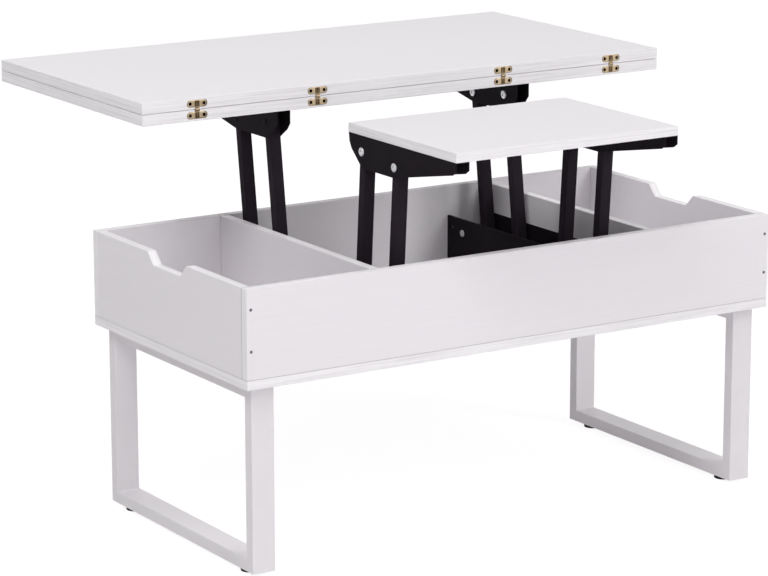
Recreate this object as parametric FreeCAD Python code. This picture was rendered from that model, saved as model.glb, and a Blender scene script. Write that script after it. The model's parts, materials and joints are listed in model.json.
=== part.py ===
import FreeCAD, Part
import math
import os

from FreeCAD import Vector

# Convertible coffee and dining table, in millimetres. The floor is z = 0, the middle of the box is at
# x = 0 and y = 0, and the front is towards -y. Both tops are raised, and the large one is still folded.

# Large folding top
top_length = 1000.0
top_depth = 500.0
leaf_thickness = 18.0
seam_gap = 0.7
board_ease = 0.6

# Small top, as wide as the pair of brackets that carries it
small_top_width = 416.0
small_top_depth = 307.0
small_top_thickness = 15.0
support_gap = 0.4
small_top_recess = 1.5

# Box
top_overhang = 2.0
panel_thickness = 15.0
bottom_thickness = 15.0
wall_height = 142.5
notch_width = 125.0
notch_floor_width = 87.0
notch_depth = 20.0
notch_round = 6.0

# Leg frames of rectangular tube
tube_width = 40.0
tube_depth = 20.0
tube_wall = 1.5
tube_round = 1.2
leg_frame_height = 297.5
leg_inset_x = 16.0
leg_inset_y = 17.0

# Round feet
foot_radius = 15.0
foot_height = 7.0
foot_ease = 1.2
foot_from_end = 43.0
foot_stem_radius = 4.0
foot_stem_length = 9.0

# Folded steel channels that carry the arms in the box
plate_thickness = 2.0
channel_below_rim = 50.0
channel_end_gap = 2.0
channel_corner = 2.5
spare_hole_radius = 2.5
spare_hole_from_end = 14.0
spare_hole_height_shares = (0.37, 0.79)

# Brackets under the tops, side by side in the channels when both tops are closed
bracket_drop = 52.0
bracket_wall_gap = 1.5
bracket_setback = 1.5
inner_lane_gap = 2.5
lane_spacing = 13.0
outer_lane_gap = 6.5
# Side outline from the trailing end: share of the length, then share of the drop
small_trailing_shares = (
    (0.0, 0.0),
    (0.007, 0.27),
    (0.026, 0.47),
    (0.108, 0.90),
    (0.132, 1.0),
)
large_trailing_shares = (
    (0.0, 0.0),
    (0.0, 0.49),
    (0.03, 0.70),
    (0.0875, 0.925),
    (0.105, 1.0),
)
leading_shares = (
    (0.43, 1.0),
    (0.97, 0.39),
    (1.0, 0.27),
    (1.0, 0.0),
)
bracket_screw_shares = (0.06, 0.62, 0.94)

# Pivots in the brackets, measured from the trailing end and from the board
trailing_pivot_setback = 38.0
pivot_spacing = 94.5
trailing_pivot_drop = 26.0
leading_pivot_drop = 35.5

# Lift arms of rectangular tube, with their lower pivots in the channels
arm_width = 20.5
arm_depth = 16.5
arm_side_gap = 0.25
arm_wall = 1.5
arm_round = 1.8
arm_floor_gap = 2.25
large_pivot_setback = 53.0
small_pivot_setback = 49.1
large_lean_deg = 7.5
small_lean_deg = 4.2
closed_gap = 0.4

# Pins, rivets, stop studs and rest buffers
pin_radius = 4.0
pin_fit = 0.05
running_fit = 0.1
pin_head_radius = 6.0
pin_head_height = 2.0
rivet_head_radius = 7.3
rivet_head_height = 2.0
rivet_tail_radius = 5.5
rivet_tail_height = 1.2
rivet_edge_round = 0.9
sleeve_wall = 2.4
sleeve_gap = 0.2
stop_radius = 4.0
stop_gap = 0.2
stop_below_top = 25.0
buffer_radius = 10.5
buffer_gap = 0.3

# Screws and dowels
screw_fit = 0.05
panel_screw_head = 2.6
panel_screw_shaft = 1.75
panel_screw_length = 45.0
panel_screw_depths = (32.5, 97.5)
board_screw_head = 4.0
board_screw_head_height = 2.4
board_screw_shaft = 2.0
large_board_screw_length = 14.0
small_board_screw_length = 12.0
channel_screw_from_end = 20.0
channel_screw_share = 0.28
leg_screw_head = 6.0
leg_screw_head_height = 3.0
leg_screw_shaft = 3.0
leg_screw_bite = 10.0
leg_screw_spread = 300.0
dowel_radius = 4.0
dowel_in_board = 9.0
dowel_in_wall = 20.0
front_dowel_shares = (-0.44, -0.16, 0.16, 0.44)
side_dowel_shares = (-0.3, 0.3)
divider_dowel_shares = (0.3, 0.7)

# Brass hinges on the front edge of the folded top
hinge_place_shares = (-0.402, -0.1806, 0.1806, 0.402)
hinge_axis_out = 0.2
hinge_recess = 0.2
hinge_plate_width = 37.0
hinge_plate_height = 11.4
hinge_plate_thickness = 2.0
hinge_fit = 0.1
knuckle_radius = 2.2
knuckle_gap = 0.3
knuckle_width = 8.0
knuckle_middle_width = 3.6
knuckle_side_gap = 0.2
hinge_pin_radius = 1.0
hinge_screw_spread = 25.0
hinge_screw_head = 2.8
hinge_screw_shaft = 1.4
hinge_screw_length = 13.0

# One overrun serves every cut, and one small number tells equal measures
overrun = 5.0
sameness = 1e-6

# Levels and faces
leg_top = foot_height + leg_frame_height
box_floor = leg_top + bottom_thickness
rim = box_floor + wall_height
box_length = top_length - 2 * top_overhang
box_depth = top_depth - 2 * top_overhang
inner_half_depth = box_depth / 2 - panel_thickness
inner_half_length = box_length / 2 - panel_thickness

# Lanes: each bracket fits round its arms, and the channels and dividers follow the brackets
bracket_width = arm_width + 2 * arm_side_gap + 2 * plate_thickness
bracket_length = small_top_depth - 2 * bracket_setback
small_lane_x = small_top_width / 2 - bracket_width / 2
large_lane_x = small_lane_x + bracket_width + lane_spacing
channel_inner_x = small_lane_x - bracket_width / 2 - inner_lane_gap - plate_thickness
channel_outer_x = large_lane_x + bracket_width / 2 + outer_lane_gap + plate_thickness
channel_top = rim - channel_below_rim
channel_end = inner_half_depth - channel_end_gap
divider_inner_x = channel_outer_x
pivot_step = leading_pivot_drop - trailing_pivot_drop
leading_setback = trailing_pivot_setback + pivot_spacing
base_pivot_z = box_floor + plate_thickness + arm_floor_gap + arm_depth / 2

# Large lift: the arms lean back when raised. When closed they lie forward, and the brackets
# end at the front panel, so the box and the pivots give the arms their length.
large_lean = math.radians(large_lean_deg)
large_base_y = inner_half_depth - large_pivot_setback
large_closed_end = -inner_half_depth + bracket_wall_gap
large_closed_run = large_base_y - large_closed_end - leading_setback
large_closed_rise = rim + closed_gap - leading_pivot_drop - base_pivot_z
large_arm_length = math.hypot(large_closed_run, large_closed_rise)
large_closed = math.atan2(large_closed_rise, large_closed_run)
large_rear_base = (large_base_y, base_pivot_z)
large_front_base = (large_base_y - pivot_spacing, base_pivot_z + pivot_step)
large_reach = (large_arm_length * math.sin(large_lean), large_arm_length * math.cos(large_lean))
leaf_underside = base_pivot_z + large_reach[1] + leading_pivot_drop
large_trailing_y = large_base_y + large_reach[0] - leading_setback
leaf_front = large_trailing_y - large_closed_end - top_depth / 2
large_travel_deg = 90.0 - math.degrees(large_closed) + large_lean_deg

# Small lift: the arms lean forward when raised and lie backward when closed. They reach up
# to the underside of the large top, which gives them their length.
small_lean = math.radians(small_lean_deg)
small_base_y = small_pivot_setback - inner_half_depth
small_underside = leaf_underside - support_gap - small_top_thickness
small_arm_length = (small_underside - leading_pivot_drop - base_pivot_z) / math.cos(small_lean)
small_closed_rise = rim - small_top_recess - small_top_thickness - leading_pivot_drop - base_pivot_z
small_closed = math.asin(small_closed_rise / small_arm_length)
small_front_base = (small_base_y, base_pivot_z)
small_rear_base = (small_base_y + pivot_spacing, base_pivot_z + pivot_step)
small_reach = (-small_arm_length * math.sin(small_lean), small_arm_length * math.cos(small_lean))
small_trailing_y = small_base_y + small_reach[0] + leading_setback
small_closed_end = small_base_y + small_arm_length * math.cos(small_closed) + leading_setback
small_top_rear = small_trailing_y + bracket_setback
small_top_front = small_top_rear - small_top_depth
small_travel_deg = 90.0 - math.degrees(small_closed) + small_lean_deg

# Fold of the large top: the axis lies at the seam, just in front of the edge
seam_z = leaf_underside + leaf_thickness + seam_gap / 2
fold_y = leaf_front - hinge_axis_out

# Directions
along_x = Vector(1, 0, 0)
along_y = Vector(0, 1, 0)
along_z = Vector(0, 0, 1)


def block(x_span, y_span, z_span):
    corner = Vector(x_span[0], y_span[0], z_span[0])
    return Part.makeBox(
        x_span[1] - x_span[0], y_span[1] - y_span[0], z_span[1] - z_span[0], corner
    )


def board(x_span, y_span, z_span):
    """A board with all its edges slightly eased."""
    plain = block(x_span, y_span, z_span)
    return plain.makeChamfer(board_ease, plain.Edges)


def bar(start, direction, length, radius):
    return Part.makeCylinder(radius, length, start, direction)


def bar_across(x_span, place, radius):
    """A round bar along x at a (y, z) place."""
    return bar(Vector(x_span[0], place[0], place[1]), along_x, x_span[1] - x_span[0], radius)


def prism_across(x_span, points):
    """A side outline of (y, z) points, drawn out along x."""
    corners = [Vector(x_span[0], y, z) for y, z in points]
    outline = Part.makePolygon(corners + corners[:1])
    return Part.Face(outline).extrude(along_x * (x_span[1] - x_span[0]))


def edges_along(shape, direction, test):
    """The straight edges that run along a direction and whose middle passes a test."""
    chosen = []
    for edge in shape.Edges:
        ends = edge.lastVertex().Point - edge.firstVertex().Point
        if ends.Length and abs(abs(ends.normalize().dot(direction)) - 1) < sameness:
            if test(edge.CenterOfMass):
                chosen.append(edge)
    return chosen


def cut_all(shape, tools):
    return shape.cut(Part.makeCompound(tools)) if tools else shape


def join(first, others):
    return first.fuse(others).removeSplitter()


def mirrored(shape):
    return shape.mirror(Vector(0, 0, 0), along_x)


def countersunk_screw(seat, direction, head, shaft, length, grow=0.0):
    cone = Part.makeCone(head + grow, shaft + grow, head - shaft, seat, direction)
    return join(cone, [bar(seat, direction, length + grow, shaft + grow)])


def pan_screw(seat, direction, head, head_height, shaft, length):
    cap = bar(seat - direction * head_height, direction, head_height, head)
    rims = [e for e in cap.Edges if e.Closed and abs((e.CenterOfMass - seat).Length - head_height) < sameness]
    cap = cap.makeFillet(head_height / 2, rims)
    return join(cap, [bar(seat, direction, length, shaft)])


def headed_pin(x_span, place, radius, head, head_height):
    """A round bar along x whose larger head sits below the low x end."""
    shaft = bar_across(x_span, place, radius)
    cap = bar_across((x_span[0] - head_height, x_span[0]), place, head)
    outer = [e for e in cap.Edges if e.Closed and e.CenterOfMass.x < x_span[0] - head_height / 2]
    return join(shaft, [cap.makeFillet(rivet_edge_round, outer)])


def save(name, solids):
    Part.makeCompound(solids).exportStep("parts/" + name + ".step")


def save_pair(name, right_solids):
    save("right_" + name, right_solids)
    save("left_" + name, [mirrored(s) for s in right_solids])


# Places shared by boards, dowels and screws


def wall_dowels():
    """Upright dowels between the bottom panel and the walls and dividers."""
    starts = []
    wall_middle_y = box_depth / 2 - panel_thickness / 2
    for share in front_dowel_shares:
        starts += [(share * box_length, -wall_middle_y), (share * box_length, wall_middle_y)]
    side_middle_x = box_length / 2 - panel_thickness / 2
    divider_middle_x = divider_inner_x + panel_thickness / 2
    for share in side_dowel_shares:
        for x in (side_middle_x, divider_middle_x):
            starts += [(x, share * box_depth), (-x, share * box_depth)]
    return [Vector(x, y, box_floor - dowel_in_board) for x, y in starts]


def divider_dowels():
    """Level dowels between the ends of the dividers and the front and back panels."""
    starts = []
    x = divider_inner_x + panel_thickness / 2
    front = -inner_half_depth - dowel_in_board
    back = inner_half_depth - dowel_in_wall
    for share in divider_dowel_shares:
        z = box_floor + share * wall_height
        for y in (front, back):
            starts += [Vector(x, y, z), Vector(-x, y, z)]
    return starts


def dowels(grow=0.0):
    length = dowel_in_board + dowel_in_wall + 2 * grow
    radius = dowel_radius + grow
    upright = [bar(p - along_z * grow, along_z, length, radius) for p in wall_dowels()]
    level = [bar(p - along_y * grow, along_y, length, radius) for p in divider_dowels()]
    return upright + level


def panel_screws(grow=0.0):
    made = []
    x = box_length / 2 - panel_thickness / 2
    for depth in panel_screw_depths:
        for side in (-1, 1):
            for facing in (-1, 1):
                seat = Vector(side * x, facing * box_depth / 2, rim - depth)
                made.append(
                    countersunk_screw(
                        seat,
                        along_y * -facing,
                        panel_screw_head,
                        panel_screw_shaft,
                        panel_screw_length,
                        grow,
                    )
                )
    return made


def leg_middle_x():
    return box_length / 2 - leg_inset_x - tube_width / 2


def leg_screw_seats():
    z = leg_top - tube_depth
    return [
        Vector(side * leg_middle_x(), end * leg_screw_spread / 2, z)
        for side in (-1, 1)
        for end in (-1, 1)
    ]


def channel_screw_seats():
    x = (channel_inner_x + channel_outer_x) / 2
    z = box_floor + plate_thickness
    return [
        Vector(side * x, facing * y, z)
        for side in (-1, 1)
        for facing in (-1, 1)
        for y in (channel_end - channel_screw_from_end, channel_screw_share * channel_end)
    ]


def channel_screws():
    length = plate_thickness + dowel_in_board
    return [
        pan_screw(
            seat,
            -along_z,
            board_screw_head,
            board_screw_head_height,
            board_screw_shaft,
            length,
        )
        for seat in channel_screw_seats()
    ]


def shaft_holes(seats, direction, length, shaft):
    return [bar(s, direction, length + screw_fit, shaft + screw_fit) for s in seats]


# Box


def build_box():
    pegs = dowels(screw_fit)
    screws = panel_screws(screw_fit)
    walls = (box_floor, rim)
    full_x = (-box_length / 2, box_length / 2)
    inner_y = (-inner_half_depth, inner_half_depth)

    bottom = board(full_x, (-box_depth / 2, box_depth / 2), (leg_top, box_floor))
    leg_length = tube_depth + leg_screw_bite
    bottom_holes = shaft_holes(leg_screw_seats(), along_z, leg_length, leg_screw_shaft)
    bottom_holes += shaft_holes(
        channel_screw_seats(), -along_z, plate_thickness + dowel_in_board, board_screw_shaft
    )
    save("bottom_panel", [cut_all(bottom, pegs + bottom_holes)])

    front = board(full_x, (-box_depth / 2, -inner_half_depth), walls)
    back = board(full_x, (inner_half_depth, box_depth / 2), walls)
    save("front_panel", [cut_all(front, pegs + screws)])
    save("back_panel", [cut_all(back, pegs + screws)])

    side_x = (inner_half_length, box_length / 2)
    side = board(side_x, inner_y, walls)
    side = side.cut(hand_notch(side_x))
    save_pair("side_panel", [cut_all(side, pegs + screws)])

    divider_x = (divider_inner_x, divider_inner_x + panel_thickness)
    divider = board(divider_x, inner_y, walls)
    save_pair("divider", [cut_all(divider, pegs)])

    save("panel_dowels", dowels())
    save("panel_screws", panel_screws())


def hand_notch(x_span):
    """The cut for a hand at the middle of a side panel's top edge, with all four corners rounded."""
    mouth = notch_width / 2
    floor = notch_floor_width / 2
    low = rim - notch_depth
    flare = mouth + notch_depth
    points = [
        (-flare, rim + overrun),
        (-flare, rim),
        (-mouth, rim),
        (-floor, low),
        (floor, low),
        (mouth, rim),
        (flare, rim),
        (flare, rim + overrun),
    ]
    past = (x_span[0] - overrun, x_span[1] + overrun)
    cutter = prism_across(past, points)
    corners = edges_along(
        cutter,
        along_x,
        lambda p: p.z < rim + overrun / 2 and abs(p.y) < (mouth + flare) / 2,
    )
    return cutter.makeFillet(notch_round, corners)


# Leg frames


def tube(x_span, y_span, z_span, run):
    """A hollow tube that fills a box and runs along y or z, open at both ends."""
    spans = {"x": x_span, "y": y_span, "z": z_span}
    outer = block(x_span, y_span, z_span)
    direction = {"y": along_y, "z": along_z}[run]
    outer = outer.makeFillet(tube_round, edges_along(outer, direction, lambda p: True))
    inner = {}
    for axis, (low, high) in spans.items():
        step = -overrun if axis == run else tube_wall
        inner[axis] = (low + step, high - step)
    return outer.cut(block(inner["x"], inner["y"], inner["z"]))


def build_legs():
    half_x = tube_width / 2
    x_span = (leg_middle_x() - half_x, leg_middle_x() + half_x)
    past = (x_span[0] - overrun, x_span[1] + overrun)
    end = box_depth / 2 - leg_inset_y
    inner = end - tube_depth
    low = (foot_height, foot_height + tube_depth)
    high = (leg_top, leg_top - tube_depth)

    # Each tube is mitred to its neighbours by its own outline, seen from the side
    rails = {}
    for name, (outer_z, inner_z) in {"bottom_rail": low, "top_rail": high}.items():
        z_span = (min(outer_z, inner_z), max(outer_z, inner_z))
        mitre = prism_across(past, [(-end, outer_z), (end, outer_z), (inner, inner_z), (-inner, inner_z)])
        rails[name] = tube(x_span, (-end, end), z_span, "y").common(mitre)
    uprights = {}
    for name, side in {"front_upright": -1, "rear_upright": 1}.items():
        y_span = sorted((side * inner, side * end))
        outline = [
            (side * end, low[0]),
            (side * end, high[0]),
            (side * inner, high[1]),
            (side * inner, low[1]),
        ]
        mitre = prism_across(past, outline)
        uprights[name] = tube(x_span, y_span, (low[0], high[0]), "z").common(mitre)

    leg_length = tube_depth + leg_screw_bite
    holes = shaft_holes(leg_screw_seats(), along_z, leg_length, leg_screw_shaft)
    rails["top_rail"] = cut_all(rails["top_rail"], holes)
    foot_y = end - foot_from_end
    stems = [Vector(leg_middle_x(), place, foot_height) for place in (-foot_y, foot_y)]
    rails["bottom_rail"] = cut_all(
        rails["bottom_rail"], shaft_holes(stems, along_z, foot_stem_length, foot_stem_radius)
    )
    for name, solid in {**rails, **uprights}.items():
        save_pair("leg_" + name, [solid])

    feet = [foot(stem) for stem in stems]
    save("feet", feet + [mirrored(f) for f in feet])
    save(
        "leg_screws",
        [
            pan_screw(seat, along_z, leg_screw_head, leg_screw_head_height, leg_screw_shaft, leg_length)
            for seat in leg_screw_seats()
        ],
    )


def foot(seat):
    pad = bar(seat - along_z * foot_height, along_z, foot_height, foot_radius)
    rims = [e for e in pad.Edges if e.Closed]
    pad = pad.makeFillet(foot_ease, rims)
    return join(pad, [bar(seat, along_z, foot_stem_length, foot_stem_radius)])


# Base channels with their pins, sleeves, stop studs and rest buffers


def base_pivots():
    """Each pivot in the base channel: its place, and the lane of its arm."""
    return [
        (large_rear_base, large_lane_x),
        (large_front_base, large_lane_x),
        (small_rear_base, small_lane_x),
        (small_front_base, small_lane_x),
    ]


def stop_places():
    """The large rear arm leans on a stud behind it, the small front arm on a stud before it."""
    reach = arm_depth / 2 + stop_radius + stop_gap
    z = channel_top - stop_below_top
    rear = large_rear_base[0] + (z - large_rear_base[1]) * math.tan(large_lean)
    front = small_front_base[0] - (z - small_front_base[1]) * math.tan(small_lean)
    return (rear + reach / math.cos(large_lean), z), (front - reach / math.cos(small_lean), z)


def buffer_place():
    """The buffer lies square under the lower corner of the small bracket when the small top is closed."""
    underside = rim - small_top_recess - small_top_thickness
    corner = [
        (small_closed_end - u * bracket_length, underside - w * bracket_drop)
        for u, w in small_trailing_shares[-2:]
    ]
    (y0, z0), (y1, z1) = corner
    span = math.hypot(y1 - y0, z1 - z0)
    reach = (buffer_radius + buffer_gap) / span
    return (y0 + y1) / 2 - (z1 - z0) * reach, (z0 + z1) / 2 + (y1 - y0) * reach


def build_base_channels():
    x_span = (channel_inner_x, channel_outer_x)
    between = (channel_inner_x + plate_thickness, channel_outer_x - plate_thickness)
    past = (x_span[0] - overrun, x_span[1] + overrun)

    folded = block(x_span, (-channel_end, channel_end), (box_floor, channel_top))
    corners = edges_along(folded, along_x, lambda p: p.z > channel_top - overrun)
    folded = folded.makeFillet(channel_corner, corners)
    inside = block(
        between,
        (-channel_end - overrun, channel_end + overrun),
        (box_floor + plate_thickness, channel_top + overrun),
    )
    holes = [bar_across(past, place, pin_radius + pin_fit) for place, lane in base_pivots()]
    large_stop, small_stop = stop_places()
    near_plate = (past[0], between[0] + overrun)
    far_plate = (between[1] - overrun, past[1])
    holes.append(bar_across(far_plate, large_stop, stop_radius + pin_fit))
    holes.append(bar_across(near_plate, small_stop, stop_radius + pin_fit))
    holes.append(bar_across(near_plate, buffer_place(), pin_radius + pin_fit))
    for share in spare_hole_height_shares:
        for facing in (-1, 1):
            y = facing * (channel_end - spare_hole_from_end)
            place = (y, box_floor + share * (channel_top - box_floor))
            holes.append(bar_across(near_plate, place, spare_hole_radius))
    holes += shaft_holes(channel_screw_seats(), -along_z, plate_thickness, board_screw_shaft)
    save_pair("base_channel", [cut_all(folded, [inside] + holes)])

    pins = [
        headed_pin(x_span, place, pin_radius, pin_head_radius, pin_head_height)
        for place, lane in base_pivots()
    ]
    save_pair("base_pivot_pins", pins)
    small_span = (channel_inner_x, small_lane_x + arm_width / 2)
    large_span = (large_lane_x - arm_width / 2, channel_outer_x)
    studs = [
        bar_across(large_span, large_stop, stop_radius),
        headed_pin(small_span, small_stop, stop_radius, pin_head_radius, pin_head_height),
        headed_pin(small_span, buffer_place(), pin_radius, pin_head_radius, pin_head_height),
    ]
    save_pair("stop_studs", studs)
    bore = pin_radius + pin_fit
    buffer_span = (between[0], small_span[1])
    rubber = bar_across(buffer_span, buffer_place(), buffer_radius)
    rubber = rubber.cut(bar_across(past, buffer_place(), bore))
    save("rest_buffers", [rubber, mirrored(rubber)])

    sleeves = []
    for place, lane in base_pivots():
        arm = (lane - arm_width / 2 - sleeve_gap, lane + arm_width / 2 + sleeve_gap)
        for span in ((between[0], arm[0]), (arm[1], between[1])):
            bore = pin_radius + running_fit
            sleeve = bar_across(span, place, bore + sleeve_wall)
            sleeves.append(sleeve.cut(bar_across(past, place, bore)))
    save_pair("spacer_sleeves", sleeves)
    save("channel_screws", channel_screws())


# Lift arms


def arm(lane, base, length, lean_deg):
    """A straight tube with rounded ends that stands on its base pivot, leaning towards +y."""
    half = arm_depth / 2
    x_span = (lane - arm_width / 2, lane + arm_width / 2)
    past = (x_span[0] - overrun, x_span[1] + overrun)
    shape = block(x_span, (-half, half), (0, length))
    shape = join(shape, [bar_across(x_span, (0, z), half) for z in (0, length)])
    flanks = [e for e in shape.Edges if abs(abs(e.CenterOfMass.x - lane) - arm_width / 2) < sameness]
    shape = shape.makeFillet(arm_round, flanks)
    hollow = block(
        (x_span[0] + arm_wall, x_span[1] - arm_wall),
        (arm_wall - half, half - arm_wall),
        (-half - overrun, length + half + overrun),
    )
    holes = [bar_across(past, (0, z), pin_radius + running_fit) for z in (0, length)]
    shape = cut_all(shape, [hollow] + holes)
    shape.rotate(Vector(0, 0, 0), along_x, -lean_deg)
    shape.translate(Vector(0, base[0], base[1]))
    return shape


def build_arms():
    for name, base in {"rear": large_rear_base, "front": large_front_base}.items():
        made = arm(large_lane_x, base, large_arm_length, large_lean_deg)
        save_pair("large_" + name + "_arm", [made])
    for name, base in {"rear": small_rear_base, "front": small_front_base}.items():
        made = arm(small_lane_x, base, small_arm_length, -small_lean_deg)
        save_pair("small_" + name + "_arm", [made])


# Brackets


def bracket_pivots(trailing_y, ahead, underside):
    near = trailing_y + ahead * trailing_pivot_setback
    return [
        (near, underside - trailing_pivot_drop),
        (near + ahead * pivot_spacing, underside - leading_pivot_drop),
    ]


def bracket_screw_seats(lane, trailing_y, ahead, underside):
    z = underside - plate_thickness
    return [
        Vector(lane, trailing_y + ahead * share * bracket_length, z) for share in bracket_screw_shares
    ]


def bracket(trailing_shares, lane, trailing_y, ahead, underside):
    """A folded channel under a board, open at both ends, with the arms' pivots in its sides."""
    x_span = (lane - bracket_width / 2, lane + bracket_width / 2)
    past = (x_span[0] - overrun, x_span[1] + overrun)
    points = [
        (trailing_y + ahead * u * bracket_length, underside - w * bracket_drop)
        for u, w in trailing_shares + leading_shares
    ]
    folded = prism_across(x_span, points)
    ends = sorted((trailing_y - ahead * overrun, trailing_y + ahead * (bracket_length + overrun)))
    inside = block(
        (x_span[0] + plate_thickness, x_span[1] - plate_thickness),
        ends,
        (underside - bracket_drop - overrun, underside - plate_thickness),
    )
    holes = [bar_across(past, p, pin_radius + pin_fit) for p in bracket_pivots(trailing_y, ahead, underside)]
    seats = bracket_screw_seats(lane, trailing_y, ahead, underside)
    holes += shaft_holes(seats, along_z, plate_thickness, board_screw_shaft)
    return cut_all(folded, [inside] + holes)


def bracket_rivet(lane, place, head_side):
    """A rivet through both sides of a bracket, its large head towards or away from the middle."""
    half = bracket_width / 2
    span = (-half, half)
    made = headed_pin(span, place, pin_radius, rivet_head_radius, rivet_head_height)
    tail = bar_across((half, half + rivet_tail_height), place, rivet_tail_radius)
    made = join(made, [tail])
    if head_side > 0:
        made = mirrored(made)
    made.translate(Vector(lane, 0, 0))
    return made


def build_lift_hardware(name, trailing_shares, place, screw_length, head_side):
    lane, trailing_y, ahead, underside = place
    save_pair(name + "_bracket", [bracket(trailing_shares, *place)])
    rivets = [bracket_rivet(lane, p, head_side) for p in bracket_pivots(trailing_y, ahead, underside)]
    save_pair(name + "_bracket_rivets", rivets)
    screws = [
        pan_screw(
            seat,
            along_z,
            board_screw_head,
            board_screw_head_height,
            board_screw_shaft,
            screw_length,
        )
        for seat in bracket_screw_seats(*place)
    ]
    save(name + "_bracket_screws", screws + [mirrored(s) for s in screws])


def bracket_screw_holes(place, screw_length):
    seats = bracket_screw_seats(*place)
    holes = shaft_holes(seats, along_z, screw_length, board_screw_shaft)
    return holes + [mirrored(h) for h in holes]


# Small top


def build_small_top():
    top = board(
        (-small_top_width / 2, small_top_width / 2),
        (small_top_front, small_top_rear),
        (small_underside, small_underside + small_top_thickness),
    )
    place = (small_lane_x, small_trailing_y, -1, small_underside)
    save("small_top", [cut_all(top, bracket_screw_holes(place, small_board_screw_length))])
    build_lift_hardware("small", small_trailing_shares, place, small_board_screw_length, 1)


# Large top and its hinges


def pill(x, z, y_span, width, height):
    """A plate with round ends that faces the front."""
    radius = height / 2
    reach = width / 2 - radius
    middle = block((x - reach, x + reach), y_span, (z - radius, z + radius))
    ends = [
        bar(Vector(x + side * reach, y_span[0], z), along_y, y_span[1] - y_span[0], radius)
        for side in (-1, 1)
    ]
    return join(middle, ends)


def hinge_places():
    return [share * top_length for share in hinge_place_shares]


def hinge_face():
    return leaf_front + hinge_recess


def hinge_plate_z(side):
    return seam_z + side * (seam_gap / 2 + leaf_thickness / 2)


def knuckle_spans(x, side):
    """The knuckles of a hinge: the upper plate has the middle one, the lower plate the two outside it."""
    half = knuckle_width / 2
    middle = knuckle_middle_width / 2
    if side > 0:
        return [(x - middle, x + middle)]
    outer = middle + knuckle_side_gap
    return [(x - half, x - outer), (x + outer, x + half)]


def hinge_screw_seats(x, side):
    z = hinge_plate_z(side)
    reach = hinge_screw_spread / 2
    return [Vector(x - reach, hinge_face(), z), Vector(x + reach, hinge_face(), z)]


def hinge_screws(x, side, grow=0.0):
    return [
        countersunk_screw(
            seat, along_y, hinge_screw_head, hinge_screw_shaft, hinge_screw_length, grow
        )
        for seat in hinge_screw_seats(x, side)
    ]


def hinge_plate(x, side):
    """One plate of a hinge with its tongues and knuckles; side is 1 for the upper leaf."""
    z = hinge_plate_z(side)
    y_span = (hinge_face(), hinge_face() + hinge_plate_thickness)
    plate = pill(x, z, y_span, hinge_plate_width, hinge_plate_height)
    additions = []
    for span in knuckle_spans(x, side):
        additions.append(block(span, y_span, sorted((seam_z, z))))
        additions.append(bar_across(span, (fold_y, seam_z), knuckle_radius))
    plate = join(plate, additions)
    bore = bar_across(
        (x - knuckle_width, x + knuckle_width), (fold_y, seam_z), hinge_pin_radius + pin_fit
    )
    return cut_all(plate, [bore] + hinge_screws(x, side, screw_fit))


def hinge_mortise(x, side):
    """The seat of a hinge in the edge of a leaf."""
    z = hinge_plate_z(side)
    depth = (leaf_front - overrun, hinge_face() + hinge_plate_thickness)
    seat = pill(x, z, depth, hinge_plate_width + 2 * hinge_fit, hinge_plate_height + 2 * hinge_fit)
    half = knuckle_width / 2 + knuckle_gap
    slot = block((x - half, x + half), depth, sorted((seam_z, z)))
    knuckle = bar_across((x - half, x + half), (fold_y, seam_z), knuckle_radius + knuckle_gap)
    return [seat, slot, knuckle] + hinge_screws(x, side, screw_fit)


def leaf(side):
    low = leaf_underside if side < 0 else leaf_underside + leaf_thickness + seam_gap
    plain = board(
        (-top_length / 2, top_length / 2),
        (leaf_front, leaf_front + top_depth),
        (low, low + leaf_thickness),
    )
    return cut_all(plain, [tool for x in hinge_places() for tool in hinge_mortise(x, side)])


def build_large_top():
    place = (large_lane_x, large_trailing_y, 1, leaf_underside)
    holes = bracket_screw_holes(place, large_board_screw_length)
    save("lower_leaf", [cut_all(leaf(-1), holes)])
    save("upper_leaf", [leaf(1)])
    build_lift_hardware("large", large_trailing_shares, place, large_board_screw_length, -1)
    for name, side in {"lower": -1, "upper": 1}.items():
        save("hinge_" + name + "_plates", [hinge_plate(x, side) for x in hinge_places()])
        screws = [s for x in hinge_places() for s in hinge_screws(x, side)]
        save("hinge_" + name + "_screws", screws)
    half = knuckle_width / 2
    pins = [bar_across((x - half, x + half), (fold_y, seam_z), hinge_pin_radius) for x in hinge_places()]
    save("hinge_pins", pins)


os.makedirs("parts", exist_ok=True)
build_box()
build_legs()
build_base_channels()
build_arms()
build_small_top()
build_large_top()
print("rim", rim, "leaf underside", round(leaf_underside, 3), "leaf front", round(leaf_front, 3))
print("large travel", round(large_travel_deg, 3), "small travel", round(small_travel_deg, 3))
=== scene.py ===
# %% [markdown]
# # A coffee table that turns into a dining table
# The table is a white box on two loop legs. Its large top lies folded in two on four brass
# hinges, and both tops ride on black parallel arms. The solids are already exact, so this
# lesson dresses them: boards, coated steel and plated metal get their finishes, and the small
# turned and folded hardware is made again with the detail that the eye expects of it.

# %% Load the frame
import json
import math

import bmesh
import bpy
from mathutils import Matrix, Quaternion, Vector


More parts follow.
